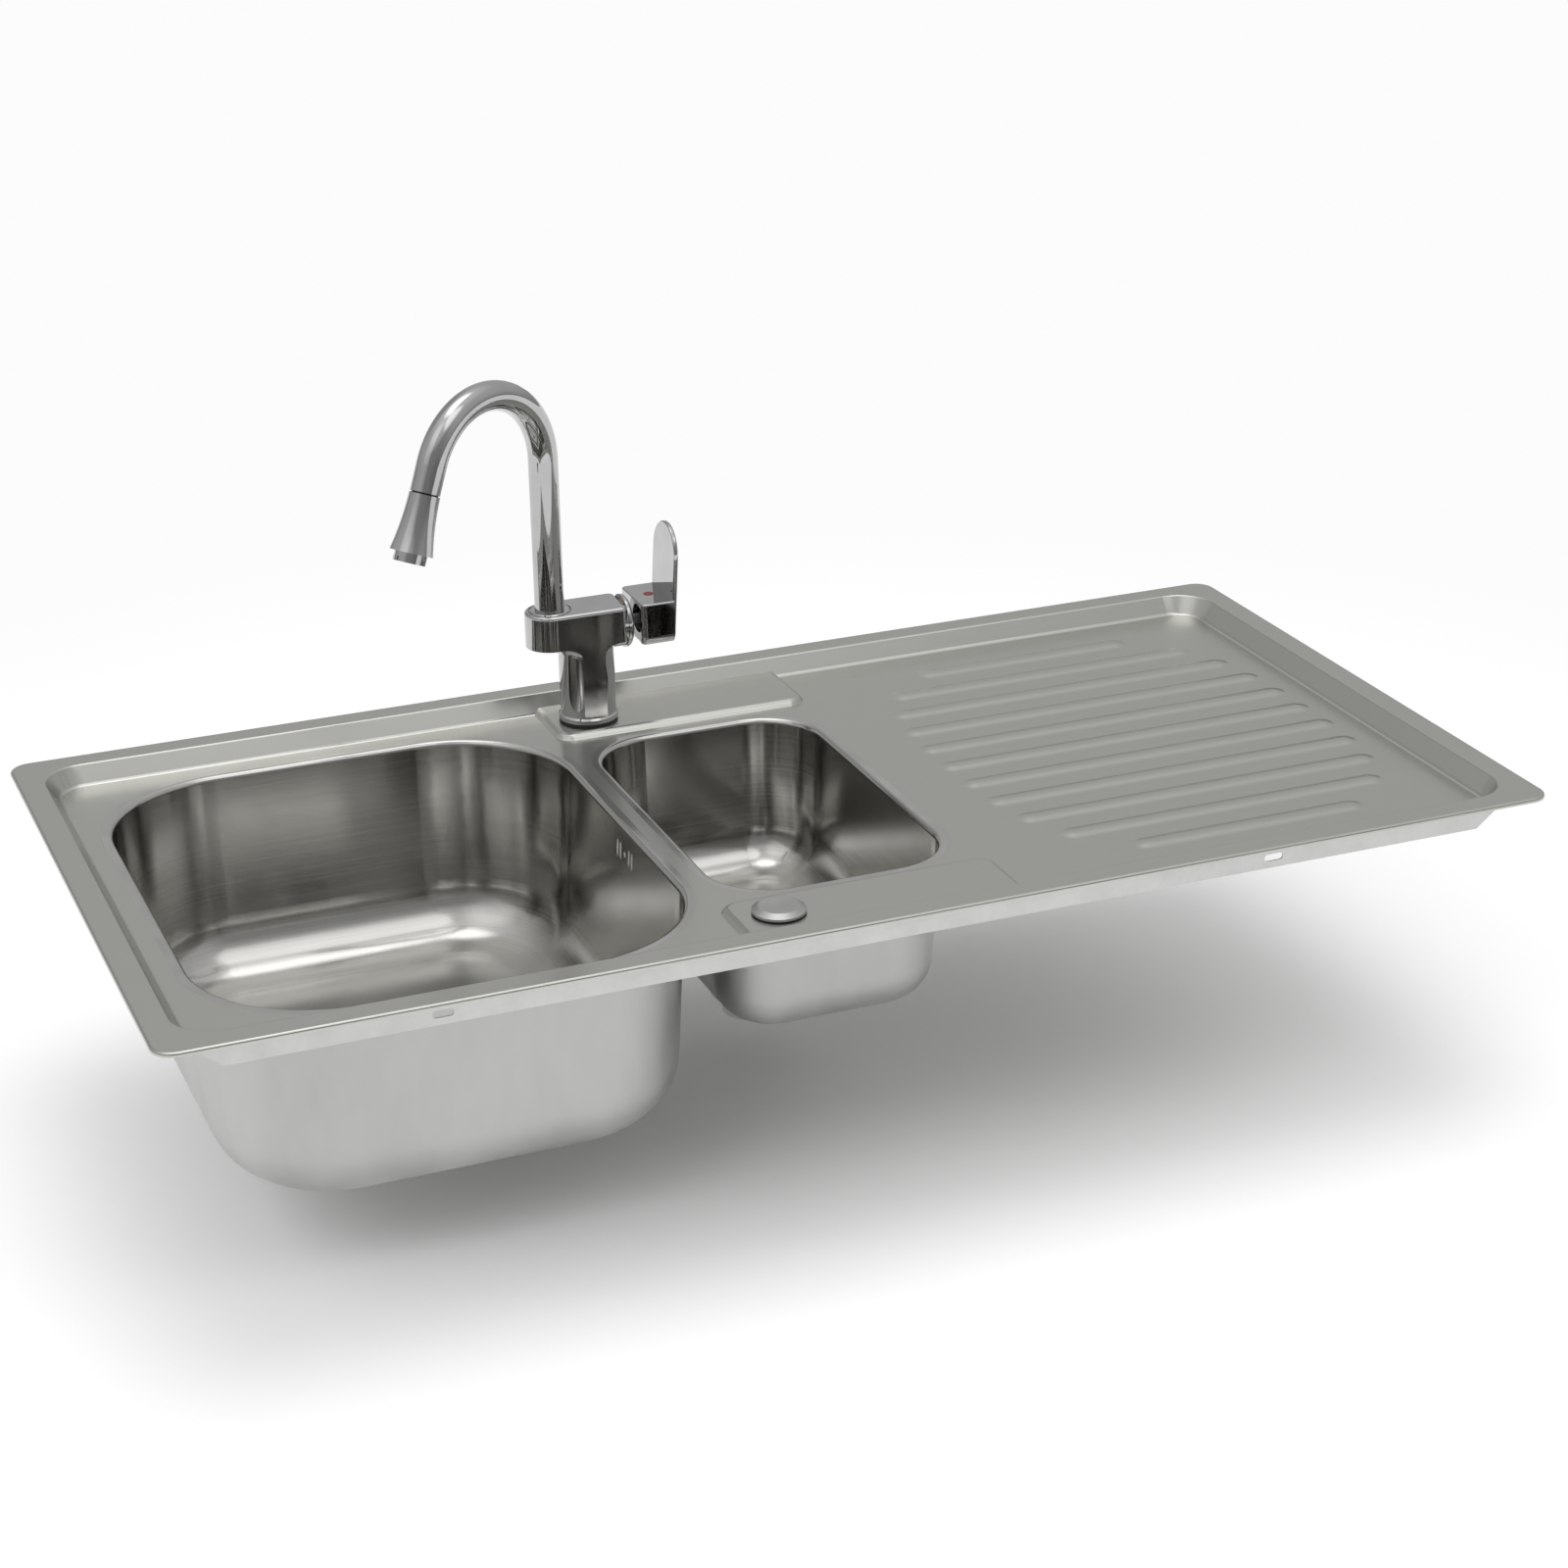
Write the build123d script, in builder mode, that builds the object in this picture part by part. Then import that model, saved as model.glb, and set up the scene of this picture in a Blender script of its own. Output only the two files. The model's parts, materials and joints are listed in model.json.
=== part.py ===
from build123d import *

import math
import os

# Inset kitchen sink of pressed stainless steel: main bowl, half bowl, drainer and a single-lever tap.
# Frame: origin at the middle of the rim on the worktop plane, +X towards the drainer, +Y to the rear, +Z up.
# All sizes are in millimetres.

# Sheet and rim
sheet = 0.8
rim_length = 980.0
rim_width = 500.0
rim_height = 3.0
rim_corner = 15.0
rim_edge_radius = 2.0
rim_flat = 19.0

# Recess pressed down inside the rim
recess_depth = 14.0
recess_run = 9.0
recess_corner = 30.0
recess_top_radius = 2.0
recess_foot_radius = 4.0

# Raised ledges for the tap holes, one at the rear and one at the front
ledge_height = 4.5
ledge_length = 192.0
ledge_inset = 86.5
ledge_run = 3.5
ledge_corner = 10.0
ledge_edge_radius = 6.0
tap_hole_offset = 66.5
tap_hole_inset = 59.0
tap_hole_radius = 16.0

# Drainer ribs, whose ends follow a rounded outline
rib_count = 11
rib_pitch = 36.0
rib_width = 24.0
rib_height = 1.8
rib_seat = 0.15
rib_reach = 154.5
rib_field_half = 195.0
rib_field_power = 3.0
rib_field_inset = 200.0

# Bowls: opening at the drainer floor, where the lip's rounding starts
lip_radius = 4.0
weld_flange = 4.0
main_margin = 45.0
main_length = 340.0
main_width = 410.0
main_corner = 95.0
main_depth = 151.0
main_draft = 3.4
main_floor_radius = 45.0
bowl_gap = 17.0
half_length = 176.0
half_width = 302.0
half_corner = 50.0
half_depth = 115.0
half_draft = 2.9
half_floor_radius = 32.0

# Foam seal and clip rails under the rim
seal_width = 8.0
seal_play = 0.2
rail_sheet = 1.0
rail_inset = 11.0
rail_drop = 17.0
rail_flange = 5.0
rail_slant = 24.0
long_rail_left_inset = 19.0
long_rail_right_inset = 30.0
short_rail_inset = 50.0
rail_slot_length = 14.0
rail_slot_height = 5.0
rail_slot_drop = 9.5
left_slot_inset = 181.0
right_slot_inset = 215.0
short_slot_spacing = 220.0

# Basket strainer wastes
waste_y = 30.0
main_waste_hole = 43.0
half_waste_hole = 29.5
waste_flange_lap = 13.0
waste_flange_thickness = 1.5
waste_gasket_thickness = 1.0
cup_hole_play = 1.7
cup_wall = 1.5
cup_depth = 38.0
drain_hole_count = 6
drain_hole_share = 0.16
drain_circle_share = 0.51
lower_gasket_thickness = 2.5
body_flange_lap = 9.0
body_flange_thickness = 4.0
body_hole_play = 0.5
body_wall = 2.5
body_depth = 48.0
outlet_radius = 23.9
outlet_wall = 2.9
outlet_length = 15.0
spider_boss_radius = 6.0
spider_bar = 4.0
spider_height = 8.0
clamp_screw_radius = 2.5
clamp_head_radius = 6.0
clamp_head_height = 2.5
screw_hole_play = 0.3
plug_hole_lap = 2.0
plug_thickness = 4.0
plug_head_play = 1.5
basket_rim_play = 1.2
basket_wall = 1.2
basket_height = 25.0
basket_hole_radius = 2.4
basket_hole_counts = (10, 6)
basket_circle_shares = (0.72, 0.4)
basket_side_hole_count = 12
basket_side_hole_radius = 3.0
knob_post_radius = 3.0
knob_radius = 9.0
knob_height = 7.0
knob_rise = 22.0
overflow_inlet_radius = 9.0
overflow_inlet_wall = 2.0
overflow_inlet_length = 22.0
overflow_inlet_drop = 32.0
hose_stop_height = 1.6
hose_stop_length = 3.0

# Overflow in the main bowl's wall beside the half bowl
overflow_y = -10.0
overflow_drop = 20.0
overflow_slot_height = 13.0
overflow_slot_width = 3.0
overflow_slot_offsets = (-14.5, -8.5, 8.5, 14.5)
overflow_hole_radius = 2.2

# Cover of the unused front tap hole
cover_radius = 18.3
cover_top_radius = 14.0
cover_round = 1.5
cover_edge = 1.6
cover_height = 4.2
cover_seal_thickness = 1.0
cover_seal_width = 5.0
cover_seal_inset = 0.8
cover_bolt_radius = 3.0
cover_bolt_length = 32.0
cover_bolt_play = 0.3
cover_bar_length = 46.0
cover_bar_width = 14.0
cover_bar_thickness = 2.0
wing_hub_radius = 6.0
wing_hub_height = 8.0
wing_span = 28.0
wing_thickness = 2.5
wing_height = 9.0

# Tap body: column, arm to the riser, and the barrel of the cartridge
tap_gasket_thickness = 2.0
tap_gasket_radius = 21.6
column_flange_radius = 22.3
column_flange_height = 3.0
column_flange_chamfer = 1.3
column_radius = 21.0
arm_bottom = 56.0
arm_height = 27.0
arm_half_depth = 19.0
arm_corner = 5.0
arm_edge_radius = 2.5
arm_blend = 8.0
arm_end = 28.5
riser_offset = 27.0
cartridge_rise = 10.5
barrel_radius = 18.8
barrel_length = 12.0
barrel_top_drop = 3.0
column_bore_radius = 12.0
column_bore_depth = 42.0
waterway_radius = 3.5
waterway_offset = 6.0
inlet_radius = 4.5
inlet_depth = 10.0

# Tap fixing under the ledge
shank_radius = 14.0
shank_wall = 2.0
shank_grip = 12.0
shank_length = 52.0
washer_radius = 23.0
washer_thickness = 3.0
clamp_plate_thickness = 2.0
clamp_slot_width = 6.0
clamp_bowl_play = 1.0
shank_nut_flats = 41.0
shank_nut_height = 8.0
washer_play = 0.2

# Swivelling spout
tube_radius = 11.0
tube_wall = 1.2
bend_height = 199.0
bend_radius = 60.0
bend_sweep = 156.5
leg_length = 20.6
spout_heading = 30.0
foot_height = 16.0
foot_radius = 13.4
foot_play = 0.2
socket_radius = 13.45
ring_groove_radius = 11.9
ring_groove_width = 2.2
ring_section = 0.75
ring_levels = (4.0, 11.0)
collar_radius = 16.2
collar_rise = 0.8
collar_height = 9.0
collar_groove = 0.9
collar_groove_depth = 1.6
collar_bore_play = 0.05
head_length = 42.0
head_top_radius = 11.3
head_waist_radius = 12.5
head_end_radius = 15.8
head_joint = 0.9
head_wall = 1.6
nipple_length = 9.0
nipple_play = 0.1
aerator_radius = 11.8
aerator_length = 7.0
aerator_grip = 6.0
aerator_wall = 1.8
aerator_notch_count = 8
aerator_notch_width = 3.2
aerator_notch_height = 3.5
jet_plate_thickness = 3.0
jet_plate_inset = 1.5
jet_hole_radius = 0.8
jet_hole_counts = (6, 12)
jet_circles = (3.2, 6.4)

# Cartridge and lever
cartridge_radius = 12.5
cartridge_play = 0.1
cartridge_seal_thickness = 1.2
cartridge_length = 26.0
cartridge_neck_radius = 10.2
cartridge_neck_length = 7.0
cartridge_nut_radius = 16.0
cartridge_nut_length = 5.0
dome_radius = 20.0
dome_thickness = 4.0
dome_edge_radius = 2.5
dome_hole_radius = 11.0
turret_radius = 8.0
turret_play = 0.05
turret_length = 11.0
turret_setback = 1.5
turret_slot_play = 0.2
turret_slot_end_play = 0.6
turret_slot_rise = 2.3
lever_pivot_setback = 6.5
pivot_pin_radius = 1.4
pivot_pin_play = 0.05
stem_size = 6.0
stem_tail = 4.0
stem_grip = 16.0
block_gap = 4.5
block_length = 25.5
block_depth = 48.0
block_below = 15.5
block_above = 18.0
block_foot_radius = 8.0
block_inner_radius = 4.0
block_edge_radius = 1.2
paddle_lap = 3.0
paddle_thickness = 3.6
paddle_width = 46.0
paddle_height = 88.0
paddle_lean = 3.5
paddle_foot_radius = 8.0
paddle_edge_radius = 1.2
indicator_radius = 3.7
indicator_height = 1.6
indicator_proud = 0.4
indicator_setback = 13.5
grub_radius = 2.5
grub_length = 8.0

# Levels and places worked out from the sizes above
floor_z = rim_height - recess_depth
floor_under = floor_z - sheet
ledge_z = floor_z + ledge_height
ledge_under = ledge_z - sheet
rim_under = rim_height - sheet
recess_slope = math.degrees(math.atan2(recess_run, recess_depth))
ledge_slope = math.degrees(math.atan2(ledge_run, ledge_height))
main_centre_x = -rim_length / 2 + main_margin + main_length / 2
half_centre_x = main_centre_x + main_length / 2 + bowl_gap + half_length / 2
rib_centre_x = rim_length / 2 - rib_field_inset
ledge_front = rim_width / 2 - ledge_inset
tap_hole_x = half_centre_x - tap_hole_offset
tap_hole_y = rim_width / 2 - tap_hole_inset
recess_length = rim_length - 2 * rim_flat
recess_width = rim_width - 2 * rim_flat
tap_base = ledge_z + tap_gasket_thickness
arm_top = arm_bottom + arm_height
arm_end_x = tap_hole_x + arm_end
riser_x = tap_hole_x - riser_offset
cartridge_z = arm_bottom + cartridge_rise

os.makedirs("parts", exist_ok=True)


def save(piece, name):
    """Label a finished piece and write it to its own file."""
    piece.part.label = name
    export_step(piece.part, "parts/" + name + ".step")


def upright_plane(x, y, z=0.0):
    """Plane facing the front through a point: local x is +X, local y is +Z."""
    return Plane(origin=(x, y, z), x_dir=(1, 0, 0), z_dir=(0, -1, 0))


def upright_axis(x, y):
    """Vertical axis through a point of the plan."""
    return Axis((x, y, 0), (0, 0, 1))


def ring(x, y, bottom, height, outer, inner):
    """Flat ring or washer standing on a level."""
    with BuildPart() as piece:
        with BuildSketch(Plane.XY.offset(bottom)):
            with Locations((x, y)):
                Circle(outer)
                Circle(inner, mode=Mode.SUBTRACT)
        extrude(amount=height)
    return piece


def bowl_outline(centre_x, length, width, corner, margin, mode=Mode.ADD):
    """Outline of a bowl's opening, widened by a margin."""
    with Locations((centre_x, 0)):
        RectangleRounded(length + 2 * margin, width + 2 * margin, corner + margin, mode=mode)


# Deck: rim, sloped recess, ledges, drainer ribs and the openings
with BuildPart() as recess_space:
    with BuildSketch(Plane.XY.offset(rim_height)):
        RectangleRounded(recess_length, recess_width, recess_corner)
    extrude(amount=-recess_depth, taper=recess_slope)
    fillet(recess_space.faces().sort_by(Axis.Z)[0].edges(), recess_foot_radius)

slope_skin = sheet / math.cos(math.radians(recess_slope))
ledge_skin = sheet / math.cos(math.radians(ledge_slope)) - ledge_run * sheet / ledge_height


def ledge_blocks(top, inset, edge_radius):
    """Two raised blocks that run out into the recess slope, front and rear."""
    reach = recess_width / 2 + recess_run - ledge_front
    with BuildPart() as blocks:
        with BuildSketch(Plane.XY.offset(top)):
            with Locations(*[(half_centre_x, side * (ledge_front + reach / 2)) for side in (1, -1)]):
                RectangleRounded(ledge_length - 2 * inset, reach - 2 * inset, ledge_corner - inset)
        extrude(amount=floor_under - top - inset, taper=-ledge_slope)
        fillet(blocks.faces().group_by(Axis.Z)[-1].edges(), edge_radius)
    return blocks


with BuildPart() as ledge_mass:
    add(ledge_blocks(ledge_z, 0.0, ledge_edge_radius).part)
    add(recess_space.part, mode=Mode.INTERSECT)

rib_fall = rib_height + rib_seat
rib_bend = (rib_width ** 2 / 4 + rib_fall ** 2) / (4 * rib_fall)
rib_quarter = math.asin(rib_width / 4 / rib_bend) / 2


def rib_outline(top):
    """One side of a rib's section, from its crown outwards to the floor."""
    step = (rib_bend * math.sin(rib_quarter), rib_bend * (1 - math.cos(rib_quarter)))
    crown = ThreePointArc((0, top), (step[0], top - step[1]), (rib_width / 4, top - rib_fall / 2))
    hollow = ThreePointArc(
        (rib_width / 4, top - rib_fall / 2),
        (rib_width / 2 - step[0], top - rib_fall + step[1]),
        (rib_width / 2, top - rib_fall),
    )
    return crown, hollow


def rib_bars(level, bottom):
    """Ribs whose crowns stand over a level, each with rounded ends."""
    top = level + rib_height
    edge = rib_width / 2
    with BuildPart() as bars:
        for index in range(rib_count):
            rib_y = rib_pitch * (index - (rib_count - 1) / 2)
            share = 1 - (abs(rib_y) / rib_field_half) ** rib_field_power
            half = rib_reach * share ** (1 / rib_field_power) - edge
            with BuildSketch(Plane(origin=(rib_centre_x - half, rib_y, 0), x_dir=(0, 1, 0), z_dir=(1, 0, 0))):
                with BuildLine():
                    rib_outline(top)
                    mirror(about=Plane.YZ)
                    Polyline((edge, top - rib_fall), (edge, bottom), (-edge, bottom), (-edge, top - rib_fall))
                make_face()
            extrude(amount=2 * half)
            for end_x in (rib_centre_x - half, rib_centre_x + half):
                with BuildSketch(upright_plane(end_x, rib_y)):
                    with BuildLine():
                        rib_outline(top)
                        Polyline((edge, top - rib_fall), (edge, bottom), (0, bottom), (0, top))
                    make_face()
                revolve(axis=upright_axis(end_x, rib_y))
    return bars


with BuildPart() as deck:
    with BuildSketch():
        RectangleRounded(rim_length, rim_width, rim_corner)
    extrude(amount=rim_height)
    fillet(deck.faces().sort_by(Axis.Z)[-1].edges(), rim_edge_radius)
    with BuildSketch():
        RectangleRounded(rim_length - 2 * sheet, rim_width - 2 * sheet, rim_corner - sheet)
    extrude(amount=rim_under, mode=Mode.SUBTRACT)
    with BuildSketch(Plane.XY.offset(rim_height)):
        RectangleRounded(
            recess_length + 2 * slope_skin, recess_width + 2 * slope_skin, recess_corner + slope_skin
        )
    extrude(amount=-(recess_depth + sheet), taper=recess_slope)
    fillet(deck.faces().sort_by(Axis.Z)[0].edges(), recess_foot_radius + sheet)
    add(recess_space.part, mode=Mode.SUBTRACT)
    fillet(deck.faces().sort_by(Axis.Z)[-1].inner_wires()[0].edges(), recess_top_radius)
    add(ledge_mass.part)
    add(rib_bars(floor_z, floor_under).part)
    add(ledge_blocks(ledge_under, ledge_skin, ledge_edge_radius - sheet).part, mode=Mode.SUBTRACT)
    add(rib_bars(floor_under, floor_under - sheet).part, mode=Mode.SUBTRACT)
    with BuildSketch(Plane.XY.offset(floor_z)):
        bowl_outline(main_centre_x, main_length, main_width, main_corner, weld_flange)
        bowl_outline(half_centre_x, half_length, half_width, half_corner, weld_flange)
    extrude(amount=2 * sheet, both=True, mode=Mode.SUBTRACT)
    with BuildSketch(Plane.XY.offset(ledge_z)):
        with Locations((tap_hole_x, tap_hole_y), (tap_hole_x, -tap_hole_y)):
            Circle(tap_hole_radius)
    extrude(amount=2 * sheet, both=True, mode=Mode.SUBTRACT)
save(deck, "deck")


# Bowls, drawn from sheet and welded into the deck
def drawn_bowl(centre_x, length, width, corner, depth, draft, floor_radius, waste_hole):
    """Bowl with a flat weld flange, a rounded lip, drafted walls and a rounded floor."""
    mouth = (length - 2 * lip_radius, width - 2 * lip_radius)
    with BuildPart() as hollow:
        with BuildSketch(Plane.XY.offset(floor_z)):
            with Locations((centre_x, 0)):
                RectangleRounded(mouth[0], mouth[1], corner - lip_radius)
        extrude(amount=-depth, taper=draft)
        fillet(hollow.faces().sort_by(Axis.Z)[0].edges(), floor_radius)
    with BuildPart() as bowl:
        with BuildSketch(Plane.XY.offset(floor_z)):
            with Locations((centre_x, 0)):
                RectangleRounded(mouth[0] + 2 * sheet, mouth[1] + 2 * sheet, corner - lip_radius + sheet)
        extrude(amount=-depth - sheet, taper=draft)
        fillet(bowl.faces().sort_by(Axis.Z)[0].edges(), floor_radius + sheet)
        with BuildSketch(Plane.XY.offset(floor_z)):
            bowl_outline(centre_x, length, width, corner, weld_flange)
        extrude(amount=-sheet)
        under_lip = bowl.faces().filter_by(Plane.XY).sort_by(Axis.Z)[-2]
        fillet(under_lip.inner_wires()[0].edges(), lip_radius - sheet)
        add(hollow.part, mode=Mode.SUBTRACT)
        fillet(bowl.faces().sort_by(Axis.Z)[-1].inner_wires()[0].edges(), lip_radius)
        with BuildSketch(Plane.XY.offset(floor_z - depth)):
            with Locations((centre_x, waste_y)):
                Circle(waste_hole)
        extrude(amount=2 * sheet, both=True, mode=Mode.SUBTRACT)
    return bowl


# Plane of the main bowl's outer wall at the overflow: local x is +Y, local z leaves the bowl
overflow_z = floor_z - overflow_drop
wall_x = main_centre_x + main_length / 2 - lip_radius + sheet
wall_x -= math.tan(math.radians(main_draft)) * overflow_drop
wall_normal = (math.cos(math.radians(main_draft)), 0, -math.sin(math.radians(main_draft)))
overflow_plane = Plane(origin=(wall_x, overflow_y, overflow_z), x_dir=(0, 1, 0), z_dir=wall_normal)
slot_places = [(offset, 0) for offset in overflow_slot_offsets]

plain_main_bowl = drawn_bowl(
    main_centre_x, main_length, main_width, main_corner, main_depth, main_draft, main_floor_radius,
    main_waste_hole,
)
with BuildPart() as main_bowl:
    add(plain_main_bowl.part)
    with BuildSketch(overflow_plane):
        with Locations(*slot_places):
            SlotOverall(overflow_slot_height, overflow_slot_width, rotation=90)
        Circle(overflow_hole_radius)
    extrude(amount=2 * sheet, both=True, mode=Mode.SUBTRACT)
save(main_bowl, "main_bowl")

half_bowl = drawn_bowl(
    half_centre_x, half_length, half_width, half_corner, half_depth, half_draft, half_floor_radius,
    half_waste_hole,
)
save(half_bowl, "half_bowl")

# Foam seal under the rim, inside its turned-down lip
seal_outer = 2 * (sheet + seal_play)
seal_inner = seal_outer + 2 * seal_width
with BuildPart() as rim_seal:
    with BuildSketch():
        RectangleRounded(rim_length - seal_outer, rim_width - seal_outer, rim_corner - seal_outer / 2)
        RectangleRounded(
            rim_length - seal_inner, rim_width - seal_inner, rim_corner - seal_outer / 2, mode=Mode.SUBTRACT
        )
    extrude(amount=rim_under)
save(rim_seal, "rim_seal")


# Clip rails: angle strips under the rim with slots for the fixing clips
def clip_rail(plane, start, end, slots):
    """Angle strip on a plane whose local x runs along the rail, local y is up and local z points outwards."""
    with BuildPart() as rail:
        with BuildSketch(plane):
            with BuildLine():
                Polyline(
                    (start, rim_under),
                    (end, rim_under),
                    (end - rail_slant, -rail_drop),
                    (start + rail_slant, -rail_drop),
                    close=True,
                )
            make_face()
            with Locations(*[(place, -rail_slot_drop) for place in slots]):
                SlotOverall(rail_slot_length, rail_slot_height, mode=Mode.SUBTRACT)
        extrude(amount=rail_sheet)
        with BuildSketch(plane):
            with Locations(((start + end) / 2, rim_under - rail_sheet / 2)):
                Rectangle(end - start, rail_sheet)
        extrude(amount=-rail_flange)
    return rail


rail_y = rim_width / 2 - rail_inset - rail_sheet
rail_x = rim_length / 2 - rail_inset - rail_sheet
front_rail_plane = Plane(origin=(0, -rail_y, 0), x_dir=(1, 0, 0), z_dir=(0, -1, 0))
rear_rail_plane = Plane(origin=(0, rail_y, 0), x_dir=(-1, 0, 0), z_dir=(0, 1, 0))
left_rail_plane = Plane(origin=(-rail_x, 0, 0), x_dir=(0, -1, 0), z_dir=(-1, 0, 0))
right_rail_plane = Plane(origin=(rail_x, 0, 0), x_dir=(0, 1, 0), z_dir=(1, 0, 0))
long_rail_left = long_rail_left_inset - rim_length / 2
long_rail_right = rim_length / 2 - long_rail_right_inset
long_rail_slots = [left_slot_inset - rim_length / 2, rim_length / 2 - right_slot_inset]
rear_slots = [-place for place in long_rail_slots]
short_rail_half = rim_width / 2 - short_rail_inset
short_rail_slots = [-short_slot_spacing / 2, short_slot_spacing / 2]

save(clip_rail(front_rail_plane, long_rail_left, long_rail_right, long_rail_slots), "front_clip_rail")
save(clip_rail(rear_rail_plane, -long_rail_right, -long_rail_left, rear_slots), "rear_clip_rail")
save(clip_rail(left_rail_plane, -short_rail_half, short_rail_half, short_rail_slots), "left_clip_rail")
save(clip_rail(right_rail_plane, -short_rail_half, short_rail_half, short_rail_slots), "right_clip_rail")


# Wastes: strainer cup clamped through the bowl floor to a plastic body, with a lift-out basket
def waste_set(prefix, x, top, hole, with_overflow):
    """Write the pieces of one waste: top is the level of the bowl's floor, hole its opening's radius."""
    y = waste_y
    flange_radius = hole + waste_flange_lap
    cup_radius = hole - cup_hole_play
    drain_radius = hole * drain_hole_share
    drain_circle = hole * drain_circle_share
    body_inside = hole + body_hole_play
    body_radius = body_inside + body_wall
    body_flange_radius = hole + body_flange_lap
    plug_radius = drain_circle + drain_radius + plug_hole_lap
    basket_rim_radius = cup_radius - cup_wall - basket_rim_play
    plane = upright_plane(x, y)
    axis = upright_axis(x, y)
    gasket_top = top + waste_gasket_thickness
    flange_top = gasket_top + waste_flange_thickness
    cup_bottom = top - cup_depth
    cup_floor = cup_bottom + cup_wall
    save(
        ring(x, y, top, waste_gasket_thickness, flange_radius - cup_wall, hole),
        prefix + "_flange_gasket",
    )

    with BuildPart() as strainer_cup:
        with BuildSketch(plane):
            with BuildLine():
                Polyline(
                    (0, cup_bottom),
                    (cup_radius, cup_bottom),
                    (cup_radius, gasket_top),
                    (flange_radius, gasket_top),
                    (flange_radius, flange_top),
                    (cup_radius - cup_wall, flange_top),
                    (cup_radius - cup_wall, cup_floor),
                    (0, cup_floor),
                    close=True,
                )
            make_face()
        revolve(axis=axis)
        with BuildSketch(Plane.XY.offset(cup_bottom)):
            with Locations((x, y)):
                Circle(clamp_screw_radius + screw_hole_play)
                with PolarLocations(drain_circle, drain_hole_count):
                    Circle(drain_radius)
        extrude(amount=cup_wall, mode=Mode.SUBTRACT)
    save(strainer_cup, prefix + "_strainer_cup")

    under = top - sheet
    body_top = under - lower_gasket_thickness
    body_bottom = top - body_depth
    lower_gasket = ring(x, y, body_top, lower_gasket_thickness, body_flange_radius, body_inside)
    save(lower_gasket, prefix + "_lower_gasket")

    with BuildPart() as waste_body:
        with BuildSketch(plane):
            with BuildLine():
                Polyline(
                    (outlet_radius - outlet_wall, body_bottom - outlet_length),
                    (outlet_radius, body_bottom - outlet_length),
                    (outlet_radius, body_bottom),
                    (body_radius, body_bottom),
                    (body_radius, body_top - body_flange_thickness),
                    (body_flange_radius, body_top - body_flange_thickness),
                    (body_flange_radius, body_top),
                    (body_inside, body_top),
                    (body_inside, body_bottom + body_wall),
                    (outlet_radius - outlet_wall, body_bottom + body_wall),
                    close=True,
                )
            make_face()
        revolve(axis=axis)
        with BuildSketch(Plane.XY.offset(body_bottom)):
            with Locations((x, y)):
                Circle(spider_boss_radius)
                Rectangle(2 * outlet_radius, spider_bar)
                Rectangle(spider_bar, 2 * outlet_radius)
        extrude(amount=spider_height)
        with BuildSketch(Plane.XY.offset(body_bottom)):
            with Locations((x, y)):
                Circle(clamp_screw_radius)
        extrude(amount=spider_height, mode=Mode.SUBTRACT)
        if with_overflow:
            inlet_plane = Plane(
                origin=(x, y + body_inside, top - overflow_inlet_drop), x_dir=(1, 0, 0), z_dir=(0, 1, 0)
            )
            inlet_end = body_wall + hose_stop_length + overflow_inlet_length
            with BuildSketch(inlet_plane):
                Circle(overflow_inlet_radius + hose_stop_height)
            extrude(amount=body_wall + hose_stop_length)
            with BuildSketch(inlet_plane):
                Circle(overflow_inlet_radius)
            extrude(amount=inlet_end)
            with BuildSketch(inlet_plane.offset(-body_wall)):
                Circle(overflow_inlet_radius - overflow_inlet_wall)
            extrude(amount=body_wall + inlet_end, mode=Mode.SUBTRACT)
            with BuildSketch(Plane.XY.offset(body_bottom + body_wall)):
                with Locations((x, y)):
                    Circle(body_inside)
                    Circle(outlet_radius, mode=Mode.SUBTRACT)
            extrude(amount=body_top - body_bottom - body_wall, mode=Mode.SUBTRACT)
    save(waste_body, prefix + "_waste_body")

    with BuildPart() as clamp_screw:
        with BuildSketch(Plane.XY.offset(cup_floor)):
            with Locations((x, y)):
                Circle(clamp_head_radius)
        extrude(amount=clamp_head_height)
        with BuildSketch(Plane.XY.offset(cup_floor)):
            with Locations((x, y)):
                Circle(clamp_screw_radius)
        extrude(amount=body_bottom - cup_floor)
        with BuildSketch(Plane.XY.offset(cup_floor + clamp_head_height)):
            with Locations((x, y)):
                Rectangle(2 * clamp_head_radius, clamp_head_height / 2)
        extrude(amount=-clamp_head_height / 2, mode=Mode.SUBTRACT)
    save(clamp_screw, prefix + "_clamp_screw")

    plug_top = cup_floor + plug_thickness
    with BuildPart() as basket_plug:
        with BuildSketch(Plane.XY.offset(cup_floor)):
            with Locations((x, y)):
                Circle(plug_radius)
        extrude(amount=plug_thickness)
        fillet(basket_plug.faces().sort_by(Axis.Z)[-1].edges(), plug_thickness / 4)
        with BuildSketch(Plane.XY.offset(cup_floor)):
            with Locations((x, y)):
                Circle(clamp_head_radius + plug_head_play)
        extrude(amount=clamp_head_height + screw_hole_play, mode=Mode.SUBTRACT)
    save(basket_plug, prefix + "_basket_plug")

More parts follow.
